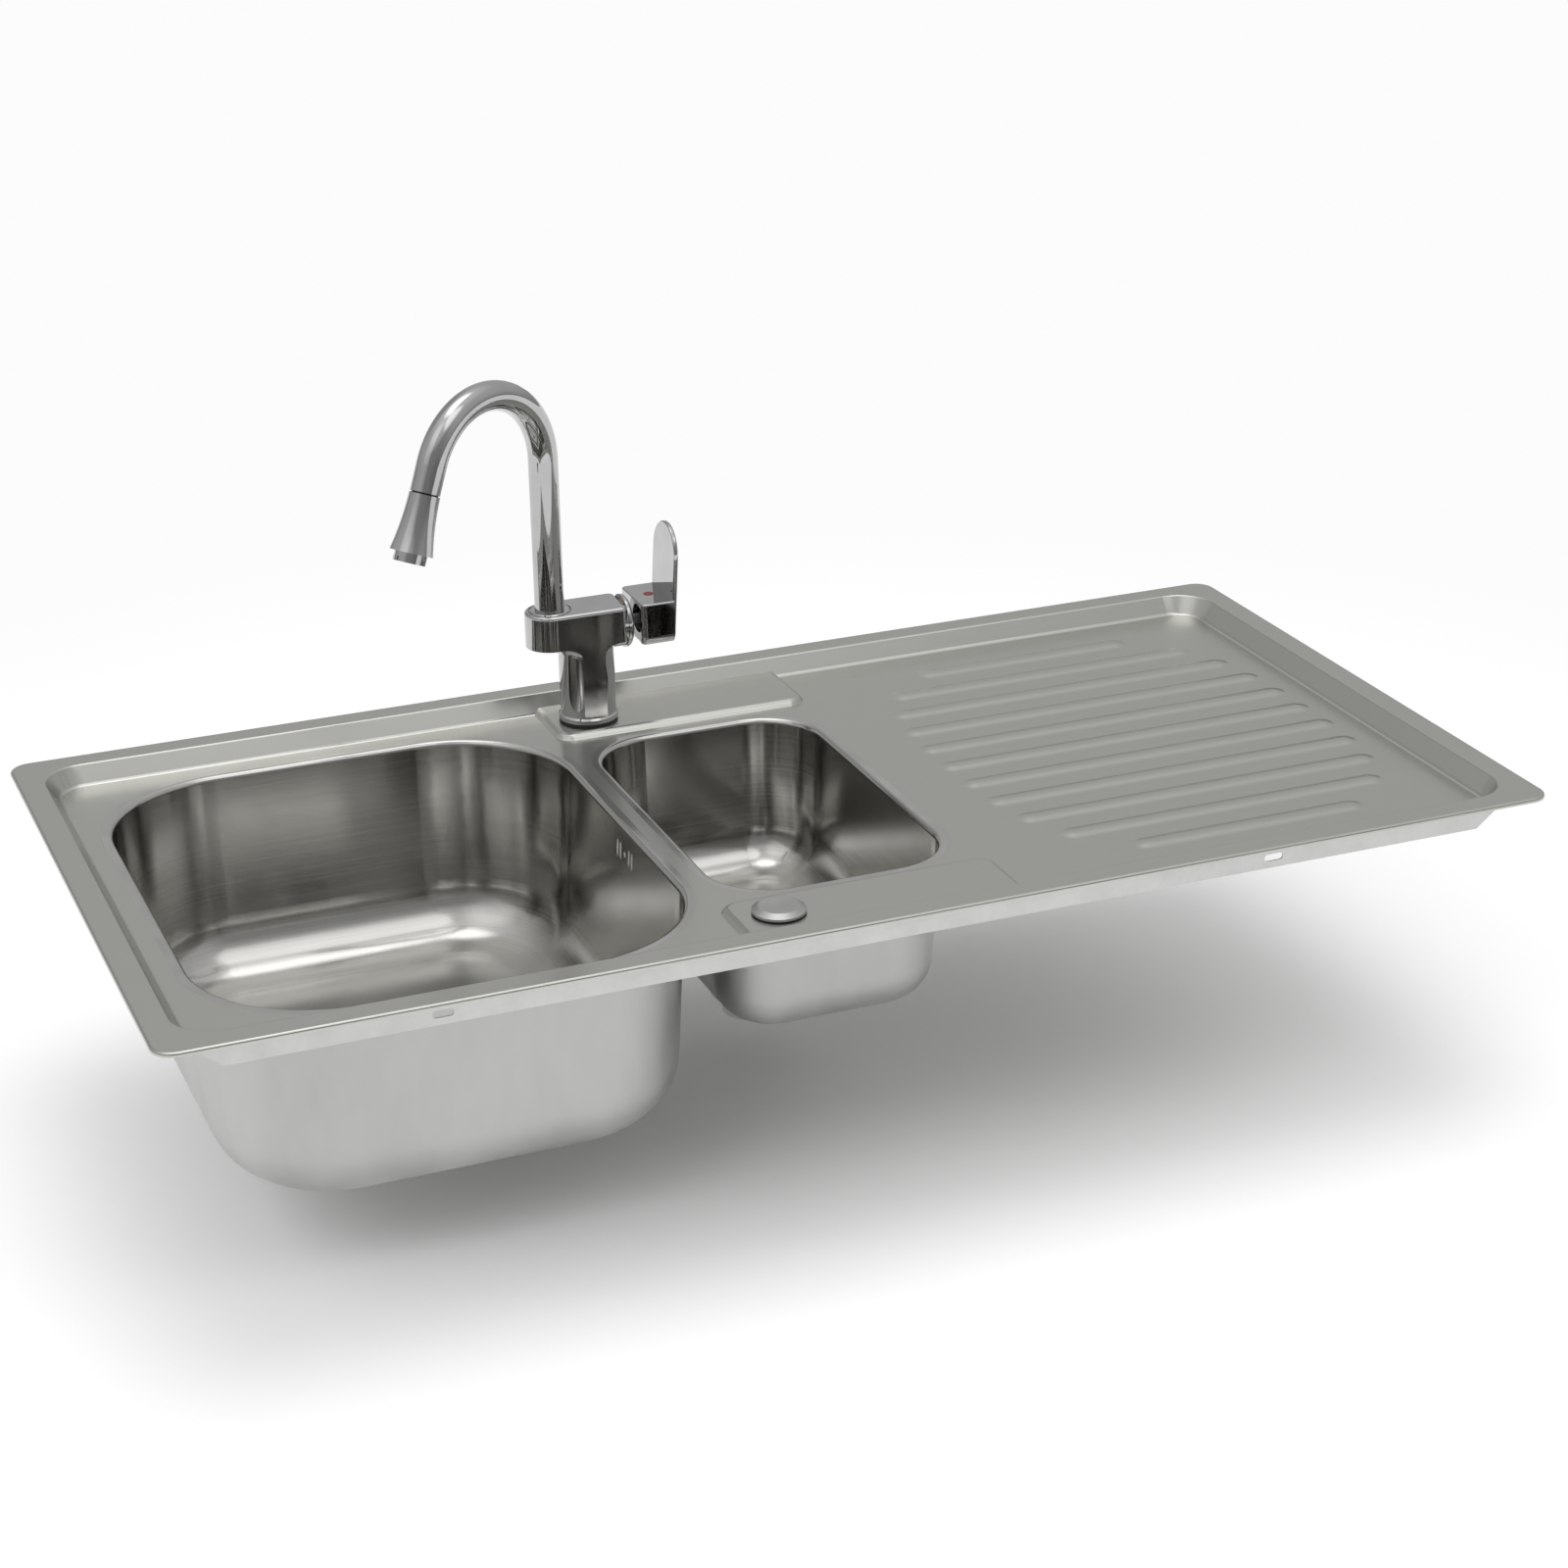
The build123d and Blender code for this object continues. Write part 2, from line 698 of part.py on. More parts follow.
    basket_floor = plug_top + basket_wall
    basket_top = plug_top + basket_height
    with BuildPart() as strainer_basket:
        with BuildSketch(plane):
            with BuildLine():
                Polyline(
                    (0, plug_top),
                    (plug_radius, plug_top),
                    (basket_rim_radius - 2 * basket_wall, basket_top - basket_wall),
                    (basket_rim_radius, basket_top - basket_wall),
                    (basket_rim_radius, basket_top),
                    (basket_rim_radius - 3 * basket_wall, basket_top),
                    (plug_radius - basket_wall, basket_floor),
                    (0, basket_floor),
                    close=True,
                )
            make_face()
        revolve(axis=axis)
        with BuildSketch(Plane.XY.offset(plug_top)):
            with Locations((x, y)):
                for count, share in zip(basket_hole_counts, basket_circle_shares):
                    with PolarLocations(plug_radius * share, count):
                        Circle(basket_hole_radius)
        extrude(amount=basket_wall, mode=Mode.SUBTRACT)
        with Locations((x, y, plug_top + basket_height / 2)):
            with PolarLocations(plug_radius, basket_side_hole_count):
                Cylinder(
                    basket_side_hole_radius, 4 * basket_side_hole_radius, rotation=(0, 90, 0),
                    mode=Mode.SUBTRACT,
                )
    save(strainer_basket, prefix + "_strainer_basket")

    knob_bottom = basket_floor + knob_rise
    with BuildPart() as basket_knob:
        with BuildSketch(Plane.XY.offset(basket_floor)):
            with Locations((x, y)):
                Circle(knob_post_radius)
        extrude(amount=knob_rise)
        with BuildSketch(Plane.XY.offset(knob_bottom)):
            with Locations((x, y)):
                Circle(knob_radius)
        extrude(amount=knob_height)
        fillet(basket_knob.faces().sort_by(Axis.Z)[-1].edges(), knob_height / 2)
        fillet(basket_knob.faces().filter_by(Plane.XY).sort_by(Axis.Z)[1].edges(), knob_height / 4)
    save(basket_knob, prefix + "_basket_knob")


waste_set("main", main_centre_x, floor_z - main_depth, main_waste_hole, True)
waste_set("half", half_centre_x, floor_z - half_depth, half_waste_hole, False)

# Cover of the front tap hole: cap on a seal, drawn down by a bolt, a bar and a wing nut
cover_y = -tap_hole_y
cover_seat = ledge_z + cover_seal_thickness
cover_seal_outer = cover_radius - cover_seal_inset
save(
    ring(
        tap_hole_x, cover_y, ledge_z, cover_seal_thickness, cover_seal_outer,
        cover_seal_outer - cover_seal_width,
    ),
    "cover_seal",
)

with BuildPart() as tap_hole_cover:
    with BuildSketch(upright_plane(tap_hole_x, cover_y)):
        with BuildLine():
            Polyline(
                (0, cover_seat),
                (cover_radius, cover_seat),
                (cover_radius, cover_seat + cover_edge),
                (cover_top_radius, cover_seat + cover_height),
                (0, cover_seat + cover_height),
                close=True,
            )
        make_face()
    revolve(axis=upright_axis(tap_hole_x, cover_y))
    fillet(tap_hole_cover.faces().sort_by(Axis.Z)[-1].edges(), cover_round)
save(tap_hole_cover, "tap_hole_cover")

with BuildPart() as cover_bolt:
    with BuildSketch(Plane.XY.offset(cover_seat)):
        with Locations((tap_hole_x, cover_y)):
            Circle(cover_bolt_radius)
    extrude(amount=-cover_bolt_length)
save(cover_bolt, "cover_bolt")

with BuildPart() as cover_bar:
    with BuildSketch(Plane.XY.offset(ledge_under)):
        with Locations((tap_hole_x, cover_y)):
            RectangleRounded(cover_bar_length, cover_bar_width, cover_bar_width / 3)
            Circle(cover_bolt_radius + cover_bolt_play, mode=Mode.SUBTRACT)
    extrude(amount=-cover_bar_thickness)
save(cover_bar, "cover_bar")

wing_top = ledge_under - cover_bar_thickness
with BuildPart() as cover_wing_nut:
    with BuildSketch(Plane.XY.offset(wing_top)):
        with Locations((tap_hole_x, cover_y)):
            Circle(wing_hub_radius)
    extrude(amount=-wing_hub_height)
    with BuildSketch(upright_plane(tap_hole_x, cover_y, wing_top - wing_hub_height)):
        with Locations((wing_span / 4, 0), (-wing_span / 4, 0)):
            RectangleRounded(wing_span / 2, wing_height, wing_height / 3)
    extrude(amount=wing_thickness / 2, both=True)
    with BuildSketch(Plane.XY.offset(wing_top)):
        with Locations((tap_hole_x, cover_y)):
            Circle(cover_bolt_radius)
    extrude(amount=-wing_hub_height - wing_height, mode=Mode.SUBTRACT)
save(cover_wing_nut, "cover_wing_nut")

# Tap fixing: base gasket, threaded shank, rubber washer, slotted clamp plate and nut
save(
    ring(tap_hole_x, tap_hole_y, ledge_z, tap_gasket_thickness, tap_gasket_radius, tap_hole_radius),
    "tap_base_gasket",
)
save(
    ring(
        tap_hole_x, tap_hole_y, tap_base + shank_grip - shank_length, shank_length, shank_radius,
        shank_radius - shank_wall,
    ),
    "tap_shank",
)
washer_bottom = ledge_under - washer_thickness
save(
    ring(tap_hole_x, tap_hole_y, washer_bottom, washer_thickness, washer_radius, shank_radius + washer_play),
    "shank_washer",
)
plate_bottom = washer_bottom - clamp_plate_thickness
with BuildPart() as shank_clamp_plate:
    with BuildSketch(Plane.XY.offset(plate_bottom)):
        with Locations((tap_hole_x, tap_hole_y)):
            Circle(washer_radius)
            Circle(shank_radius + washer_play, mode=Mode.SUBTRACT)
        with Locations((tap_hole_x, tap_hole_y + washer_radius / 2)):
            Rectangle(clamp_slot_width, washer_radius, mode=Mode.SUBTRACT)
        clear = weld_flange + clamp_bowl_play
        bowl_outline(half_centre_x, half_length, half_width, half_corner, clear, Mode.SUBTRACT)
    extrude(amount=clamp_plate_thickness)
save(shank_clamp_plate, "shank_clamp_plate")

with BuildPart() as shank_nut:
    with BuildSketch(Plane.XY.offset(plate_bottom)):
        with Locations((tap_hole_x, tap_hole_y)):
            RegularPolygon(shank_nut_flats / 2, 6, major_radius=False)
            Circle(shank_radius, mode=Mode.SUBTRACT)
    extrude(amount=-shank_nut_height)
save(shank_nut, "shank_nut")

# Tap body: column under a flat arm, with the cartridge barrel at one end and the riser socket at the other
tap_axis = upright_axis(tap_hole_x, tap_hole_y)
tap_plane = upright_plane(tap_hole_x, tap_hole_y)
cartridge_plane = upright_plane(0, tap_hole_y, cartridge_z)
cartridge_axis = Axis((0, tap_hole_y, cartridge_z), (1, 0, 0))
cartridge_face = arm_end_x - cartridge_nut_length
cartridge_back = cartridge_face - cartridge_length
cartridge_bore_end = cartridge_back - cartridge_seal_thickness
cartridge_bore = cartridge_radius + cartridge_play
collar_bottom = arm_top + collar_rise - collar_height
foot_bottom = collar_bottom - foot_play - foot_height
socket_floor = foot_bottom - foot_play
column_bore_top = tap_base + column_bore_depth

with BuildPart() as column:
    with BuildSketch(tap_plane):
        with Locations((0, tap_base)):
            Rectangle(column_radius, arm_bottom - tap_base, align=(Align.MIN, Align.MIN))
        with Locations((column_radius, arm_bottom)):
            Rectangle(arm_blend, arm_blend, align=(Align.MIN, Align.MAX))
        with Locations((column_radius + arm_blend, arm_bottom - arm_blend)):
            Circle(arm_blend, mode=Mode.SUBTRACT)
    revolve(axis=tap_axis)
    with Locations((arm_end_x, tap_hole_y, arm_bottom)):
        Box(
            arm_end + column_radius + arm_blend, 2 * arm_half_depth, 2 * (arm_bottom - tap_base),
            align=(Align.MAX, Align.CENTER, Align.CENTER), mode=Mode.INTERSECT,
        )

with BuildPart() as barrel:
    with BuildSketch(Plane.YZ.offset(arm_end_x)):
        with Locations((tap_hole_y, cartridge_z)):
            Circle(barrel_radius)
    extrude(amount=-barrel_length)
    split(bisect_by=Plane.XY.offset(arm_top - barrel_top_drop), keep=Keep.BOTTOM)

with BuildPart() as tap_body:
    with BuildSketch(Plane.XY.offset(arm_bottom)):
        with Locations((riser_x, tap_hole_y)):
            Circle(arm_half_depth)
        with Locations(((riser_x + arm_end_x) / 2, tap_hole_y)):
            Rectangle(arm_end_x - riser_x, 2 * arm_half_depth)
    extrude(amount=arm_height)
    fillet(tap_body.edges().filter_by(Axis.Z).group_by(Axis.X)[-1], arm_corner)
    fillet(tap_body.faces().sort_by(Axis.Z)[-1].edges(), arm_edge_radius)
    with BuildSketch(tap_plane):
        with BuildLine():
            Polyline(
                (0, tap_base),
                (column_flange_radius, tap_base),
                (column_flange_radius, tap_base + column_flange_height),
                (column_radius, tap_base + column_flange_height + column_flange_chamfer),
                (0, tap_base + column_flange_height + column_flange_chamfer),
                close=True,
            )
        make_face()
    revolve(axis=tap_axis)
    add(column.part)
    add(barrel.part)
    with BuildSketch(cartridge_plane):
        with BuildLine():
            Polyline(
                (cartridge_bore_end, 0),
                (arm_end_x, 0),
                (arm_end_x, cartridge_nut_radius),
                (cartridge_face, cartridge_nut_radius),
                (cartridge_face, cartridge_bore),
                (cartridge_bore_end, cartridge_bore),
                close=True,
            )
        make_face()
    revolve(axis=cartridge_axis, mode=Mode.SUBTRACT)
    with BuildSketch(Plane.XY.offset(socket_floor)):
        with Locations((riser_x, tap_hole_y)):
            Circle(socket_radius)
    extrude(amount=arm_top - socket_floor, mode=Mode.SUBTRACT)
    with BuildSketch(Plane.XY.offset(collar_bottom)):
        with Locations((riser_x, tap_hole_y)):
            Circle(collar_radius)
    extrude(amount=arm_top - collar_bottom, mode=Mode.SUBTRACT)
    with BuildSketch(Plane.XY.offset(tap_base)):
        with Locations((tap_hole_x, tap_hole_y)):
            Circle(shank_radius)
    extrude(amount=shank_grip, mode=Mode.SUBTRACT)
    with BuildSketch(Plane.XY.offset(tap_base)):
        with Locations((tap_hole_x, tap_hole_y)):
            Circle(column_bore_radius)
    extrude(amount=column_bore_depth, mode=Mode.SUBTRACT)
    inlet_places = [(tap_hole_x, tap_hole_y + waterway_offset), (tap_hole_x, tap_hole_y - waterway_offset)]
    with BuildSketch(Plane.XY.offset(column_bore_top)):
        with Locations(*inlet_places):
            Circle(inlet_radius)
    extrude(amount=inlet_depth, mode=Mode.SUBTRACT)
    with BuildSketch(Plane.XY.offset(column_bore_top)):
        with Locations(*inlet_places):
            Circle(waterway_radius)
    extrude(amount=cartridge_z - column_bore_top, mode=Mode.SUBTRACT)
    with BuildSketch(Plane.YZ.offset(riser_x)):
        with Locations((tap_hole_y, cartridge_z)):
            Circle(waterway_radius)
    extrude(amount=cartridge_bore_end - riser_x, mode=Mode.SUBTRACT)
save(tap_body, "tap_body")

# Spout: bent tube with a brass foot and two rings in the arm's socket, and a flared head with an aerator
heading = math.radians(spout_heading)
sweep_angle = math.radians(bend_sweep)
spout_out = Vector(-math.cos(heading), -math.sin(heading), 0)
spout_side = Vector(-math.sin(heading), math.cos(heading), 0)
spout_origin = Vector(riser_x, tap_hole_y, 0)
spout_plane = Plane(origin=spout_origin, x_dir=spout_out, z_dir=spout_side)
spout_axis = upright_axis(riser_x, tap_hole_y)
riser_plane = upright_plane(riser_x, tap_hole_y)
leg_start = (bend_radius * (1 - math.cos(sweep_angle)), bend_height + bend_radius * math.sin(sweep_angle))
leg_slope = (math.sin(sweep_angle), math.cos(sweep_angle))
leg_end = (leg_start[0] + leg_length * leg_slope[0], leg_start[1] + leg_length * leg_slope[1])
tube_end = (leg_end[0] - head_joint * leg_slope[0], leg_end[1] - head_joint * leg_slope[1])
leg_way = spout_out * math.sin(sweep_angle) + Vector(0, 0, math.cos(sweep_angle))
head_origin = spout_origin + spout_out * leg_end[0] + Vector(0, 0, leg_end[1])
head_plane = Plane(origin=head_origin, x_dir=leg_way.cross(spout_side), z_dir=spout_side)
head_axis = Axis(head_origin, leg_way)

with BuildPart() as spout_tube:
    with BuildLine(spout_plane):
        Line((0, foot_bottom), (0, bend_height))
        CenterArc((bend_radius, bend_height), bend_radius, 180, -bend_sweep)
        Line(leg_start, tube_end)
    with BuildSketch(Plane.XY.offset(foot_bottom)):
        with Locations((riser_x, tap_hole_y)):
            Circle(tube_radius)
            Circle(tube_radius - tube_wall, mode=Mode.SUBTRACT)
    sweep()
save(spout_tube, "spout_tube")

with BuildPart() as spout_foot:
    with BuildSketch(riser_plane):
        with Locations((tube_radius, foot_bottom)):
            Rectangle(foot_radius - tube_radius, foot_height, align=(Align.MIN, Align.MIN))
        for ring_level in ring_levels:
            with Locations((ring_groove_radius, foot_bottom + ring_level)):
                Rectangle(foot_radius, ring_groove_width, align=(Align.MIN, Align.CENTER), mode=Mode.SUBTRACT)
    revolve(axis=spout_axis)
save(spout_foot, "spout_foot")

with BuildPart() as spout_rings:
    with BuildSketch(riser_plane):
        for ring_level in ring_levels:
            with Locations((ring_groove_radius + ring_section, foot_bottom + ring_level)):
                Circle(ring_section)
    revolve(axis=spout_axis)
save(spout_rings, "spout_rings")

collar_top = arm_top + collar_rise
collar_bore = tube_radius + collar_bore_play
with BuildPart() as spout_collar:
    with BuildSketch(riser_plane):
        with BuildLine():
            Polyline(
                (collar_bore, collar_bottom),
                (collar_radius, collar_bottom),
                (collar_radius, arm_top - collar_groove_depth),
                (collar_radius - collar_groove, arm_top - collar_groove_depth),
                (collar_radius - collar_groove, collar_top - collar_groove),
                (collar_radius - 2 * collar_groove, collar_top),
                (collar_bore, collar_top),
                close=True,
            )
        make_face()
    revolve(axis=spout_axis)
save(spout_collar, "spout_collar")

nipple_radius = tube_radius - tube_wall - nipple_play
with BuildPart() as spout_head:
    with BuildSketch(head_plane):
        with BuildLine():
            Line((nipple_radius - head_wall, -nipple_length), (nipple_radius, -nipple_length))
            Line((nipple_radius, -nipple_length), (nipple_radius, 0))
            Line((nipple_radius, 0), (head_top_radius, 0))
            ThreePointArc(
                (head_top_radius, 0), (head_waist_radius, head_length / 2), (head_end_radius, head_length)
            )
            Line((head_end_radius, head_length), (aerator_radius, head_length))
            Line((aerator_radius, head_length), (aerator_radius, head_length - aerator_grip))
            Line((aerator_radius, head_length - aerator_grip), (nipple_radius - head_wall, head_length / 2))
            Line((nipple_radius - head_wall, head_length / 2), (nipple_radius - head_wall, -nipple_length))
        make_face()
    revolve(axis=head_axis)
save(spout_head, "spout_head")

aerator_end = head_length + aerator_length
with BuildPart() as aerator:
    with BuildSketch(head_plane):
        with Locations((aerator_radius - aerator_wall, head_length - aerator_grip)):
            Rectangle(aerator_wall, aerator_grip + aerator_length, align=(Align.MIN, Align.MIN))
    revolve(axis=head_axis)
    notch_plane = Plane(origin=head_origin + leg_way * aerator_end, x_dir=spout_side, z_dir=leg_way * -1)
    with BuildSketch(notch_plane):
        with PolarLocations(aerator_radius, aerator_notch_count):
            Rectangle(aerator_wall, aerator_notch_width)
    extrude(amount=aerator_notch_height, mode=Mode.SUBTRACT)
save(aerator, "aerator")

with BuildPart() as jet_plate:
    plate_level = aerator_end - aerator_notch_height - jet_plate_inset
    with BuildSketch(Plane(origin=head_origin + leg_way * plate_level, x_dir=spout_side, z_dir=leg_way * -1)):
        Circle(aerator_radius - aerator_wall)
        Circle(jet_hole_radius, mode=Mode.SUBTRACT)
        for count, circle in zip(jet_hole_counts, jet_circles):
            with PolarLocations(circle, count):
                Circle(jet_hole_radius, mode=Mode.SUBTRACT)
    extrude(amount=jet_plate_thickness)
save(jet_plate, "jet_plate")

# Cartridge in the barrel: seal, body, nut, and the domed cap over them
with BuildPart() as cartridge_seal:
    with BuildSketch(Plane.YZ.offset(cartridge_bore_end)):
        with Locations((tap_hole_y, cartridge_z)):
            Circle(cartridge_radius)
            with Locations((waterway_offset, 0), (-waterway_offset, 0), (0, waterway_offset)):
                Circle(waterway_radius / 2, mode=Mode.SUBTRACT)
    extrude(amount=cartridge_seal_thickness)
save(cartridge_seal, "cartridge_seal")

neck_end = cartridge_face + cartridge_neck_length
turret_face = neck_end - turret_setback
turret_back = turret_face - turret_length
with BuildPart() as cartridge_body:
    with BuildSketch(cartridge_plane):
        with BuildLine():
            Polyline(
                (cartridge_back, 0),
                (cartridge_back, cartridge_radius),
                (cartridge_face, cartridge_radius),
                (cartridge_face, cartridge_neck_radius),
                (neck_end, cartridge_neck_radius),
                (neck_end, turret_radius + turret_play),
                (turret_back, turret_radius + turret_play),
                (turret_back, 0),
                close=True,
            )
        make_face()
    revolve(axis=cartridge_axis)
    with BuildSketch(Plane.YZ.offset(cartridge_back)):
        with Locations((tap_hole_y, cartridge_z)):
            with Locations((waterway_offset, 0), (-waterway_offset, 0), (0, waterway_offset)):
                Circle(waterway_radius / 2)
    extrude(amount=cartridge_length / 3, mode=Mode.SUBTRACT)
save(cartridge_body, "cartridge_body")

with BuildPart() as cartridge_nut:
    with BuildSketch(Plane.YZ.offset(cartridge_face)):
        with Locations((tap_hole_y, cartridge_z)):
            Circle(cartridge_nut_radius)
            Circle(cartridge_neck_radius, mode=Mode.SUBTRACT)
    extrude(amount=cartridge_nut_length)
save(cartridge_nut, "cartridge_nut")

with BuildPart() as dome_cap:
    with BuildSketch(Plane.YZ.offset(arm_end_x)):
        with Locations((tap_hole_y, cartridge_z)):
            Circle(dome_radius)
            Circle(dome_hole_radius, mode=Mode.SUBTRACT)
    extrude(amount=dome_thickness)
    fillet(dome_cap.faces().sort_by(Axis.X)[-1].outer_wire().edges(), dome_edge_radius)
save(dome_cap, "dome_cap")

# Turret that turns in the cartridge, with the pin on which the lever's stem tilts
pivot_x = neck_end - lever_pivot_setback
slot_half = stem_size / 2 + turret_slot_rise
with BuildPart() as turret:
    with BuildSketch(Plane.YZ.offset(turret_back)):
        with Locations((tap_hole_y, cartridge_z)):
            Circle(turret_radius)
    extrude(amount=turret_length)
    with BuildSketch(Plane.YZ.offset(pivot_x - stem_tail - turret_slot_end_play)):
        with Locations((tap_hole_y, cartridge_z)):
            Rectangle(stem_size + 2 * turret_slot_play, 2 * slot_half)
    extrude(amount=turret_face - pivot_x + stem_tail + turret_slot_end_play, mode=Mode.SUBTRACT)
    with BuildSketch(upright_plane(pivot_x, tap_hole_y, cartridge_z)):
        Circle(pivot_pin_radius)
    extrude(amount=turret_radius, both=True, mode=Mode.SUBTRACT)
save(turret, "cartridge_turret")

pin_half = math.sqrt(turret_radius ** 2 - pivot_pin_radius ** 2)
with BuildPart() as pivot_pin:
    with BuildSketch(upright_plane(pivot_x, tap_hole_y, cartridge_z)):
        Circle(pivot_pin_radius)
    extrude(amount=pin_half, both=True)
save(pivot_pin, "pivot_pin")

# Lever: stem, block with a paddle, clamping screw and the indicator plug over it
block_x = arm_end_x + dome_thickness + block_gap
stem_end = block_x + stem_grip
with BuildPart() as lever_stem:
    with BuildSketch(Plane.YZ.offset(pivot_x - stem_tail)):
        with Locations((tap_hole_y, cartridge_z)):
            Rectangle(stem_size, stem_size)
    extrude(amount=stem_end - pivot_x + stem_tail)
    fillet(lever_stem.faces().sort_by(Axis.X)[0].edges().filter_by(Axis.Y), stem_size / 3)
    with BuildSketch(upright_plane(pivot_x, tap_hole_y, cartridge_z)):
        Circle(pivot_pin_radius + pivot_pin_play)
    extrude(amount=stem_size, both=True, mode=Mode.SUBTRACT)
save(lever_stem, "lever_stem")

lean = math.radians(paddle_lean)
block_bottom = cartridge_z - block_below
block_top = cartridge_z + block_above
indicator_x = block_x + indicator_setback
paddle_plane = Plane(
    origin=(block_x + block_length - paddle_lap, tap_hole_y, block_bottom),
    x_dir=(0, 1, 0),
    z_dir=(math.cos(lean), 0, -math.sin(lean)),
)
with BuildPart() as paddle:
    with BuildSketch(paddle_plane):
        Rectangle(paddle_width, paddle_height - paddle_width / 2, align=(Align.CENTER, Align.MIN))
        fillet(vertices().group_by(Axis.Y)[0], paddle_foot_radius)
        with Locations((0, paddle_height - paddle_width / 2)):
            Circle(paddle_width / 2)
    extrude(amount=paddle_thickness)
    fillet(paddle.faces().filter_by(GeomType.PLANE).sort_by(Axis.X)[-1].edges(), paddle_edge_radius)
    fillet(paddle.faces().filter_by(GeomType.PLANE).sort_by(Axis.X)[0].edges(), paddle_edge_radius)

with BuildPart() as lever:
    with BuildSketch(Plane.YZ.offset(block_x)):
        with Locations((tap_hole_y, block_bottom)):
            Rectangle(block_depth, block_below + block_above, align=(Align.CENTER, Align.MIN))
    extrude(amount=block_length)
    fillet(lever.edges().filter_by(Axis.X).group_by(Axis.Z)[0], block_foot_radius)
    fillet(lever.faces().sort_by(Axis.X)[0].edges().sort_by(Axis.Z)[0], block_inner_radius)
    fillet(lever.edges().filter_by(Axis.X).group_by(Axis.Z)[-1], block_edge_radius)
    add(paddle.part)
    with BuildSketch(Plane.YZ.offset(block_x)):
        with Locations((tap_hole_y, cartridge_z)):
            Rectangle(stem_size, stem_size)
    extrude(amount=stem_grip, mode=Mode.SUBTRACT)
    with BuildSketch(Plane.XY.offset(block_top)):
        with Locations((indicator_x, tap_hole_y)):
            Circle(grub_radius)
    extrude(amount=cartridge_z + stem_size / 2 - block_top, mode=Mode.SUBTRACT)
    with BuildSketch(Plane.XY.offset(block_top)):
        with Locations((indicator_x, tap_hole_y)):
            Circle(indicator_radius)
    extrude(amount=indicator_proud - indicator_height, mode=Mode.SUBTRACT)
save(lever, "lever")

with BuildPart() as lever_grub_screw:
    with BuildSketch(Plane.XY.offset(cartridge_z + stem_size / 2)):
        with Locations((indicator_x, tap_hole_y)):
            Circle(grub_radius)
    extrude(amount=grub_length)
    with BuildSketch(Plane.XY.offset(cartridge_z + stem_size / 2 + grub_length)):
        with Locations((indicator_x, tap_hole_y)):
            RegularPolygon(grub_radius / 2, 6)
    extrude(amount=-grub_length / 3, mode=Mode.SUBTRACT)
save(lever_grub_screw, "lever_grub_screw")

with BuildPart() as lever_indicator:
    with BuildSketch(Plane.XY.offset(block_top + indicator_proud)):
        with Locations((indicator_x, tap_hole_y)):
            Circle(indicator_radius)
    extrude(amount=-indicator_height)
    fillet(lever_indicator.faces().sort_by(Axis.Z)[-1].edges(), indicator_proud)
save(lever_indicator, "lever_indicator")
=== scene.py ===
import json
import math

import bpy
from mathutils import Matrix, Vector


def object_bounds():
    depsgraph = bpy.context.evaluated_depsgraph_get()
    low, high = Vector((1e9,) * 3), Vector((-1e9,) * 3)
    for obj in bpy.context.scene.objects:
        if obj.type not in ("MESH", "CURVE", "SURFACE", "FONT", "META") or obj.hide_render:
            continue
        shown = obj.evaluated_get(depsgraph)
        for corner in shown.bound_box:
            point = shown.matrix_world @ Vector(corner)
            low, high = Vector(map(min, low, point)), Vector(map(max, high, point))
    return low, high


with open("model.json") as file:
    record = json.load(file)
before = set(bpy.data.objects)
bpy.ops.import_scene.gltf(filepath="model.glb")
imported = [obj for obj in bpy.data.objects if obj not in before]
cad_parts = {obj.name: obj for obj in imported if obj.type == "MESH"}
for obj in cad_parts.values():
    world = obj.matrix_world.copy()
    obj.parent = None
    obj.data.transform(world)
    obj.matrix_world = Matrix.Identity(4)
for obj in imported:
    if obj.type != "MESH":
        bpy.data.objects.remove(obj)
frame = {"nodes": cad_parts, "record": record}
cad_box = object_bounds()
scene = bpy.context.scene
scene.view_settings.view_transform = "Standard"

# A point inside each bowl, the drainer floor's height, and the drops below it where the lips turn to polish
MAIN_BOWL_CENTRE = (-0.275, 0.0, -0.085)
HALF_BOWL_CENTRE = (0.0, 0.0, -0.068)
DECK_FLOOR_Z = -0.011
LIP_BRUSHED_DROP = 0.011
LIP_POLISHED_DROP = 0.004
FACING_FADE = 0.004

# Joint between the spout's tube and its head, where painted shade darkens the groove
SPOUT_HEADING = math.radians(30.0)
BEND_RADIUS = 0.060
BEND_HEIGHT = 0.199
BEND_SWEEP = math.radians(156.5)
SEAM_ALONG_LEG = 0.02015
SEAM_HALF_WIDTH = 0.0006
SEAM_REACH = 0.02
GROOVE_PAINTED_SHADE = (0.03, 0.03, 0.03)
swivel = next(joint for joint in frame["record"]["behaviour"]["joints"] if joint["name"] == "spout_swivel")
spout_out = Vector((-math.cos(SPOUT_HEADING), -math.sin(SPOUT_HEADING), 0.0))
leg_way = spout_out * math.sin(BEND_SWEEP) + Vector((0.0, 0.0, math.cos(BEND_SWEEP)))
bend_end = spout_out * BEND_RADIUS * (1 - math.cos(BEND_SWEEP))
bend_end += Vector((swivel["pos_m"][0], swivel["pos_m"][1], BEND_HEIGHT + BEND_RADIUS * math.sin(BEND_SWEEP)))
head_seam = (bend_end + leg_way * SEAM_ALONG_LEG, leg_way, SEAM_HALF_WIDTH, SEAM_REACH)


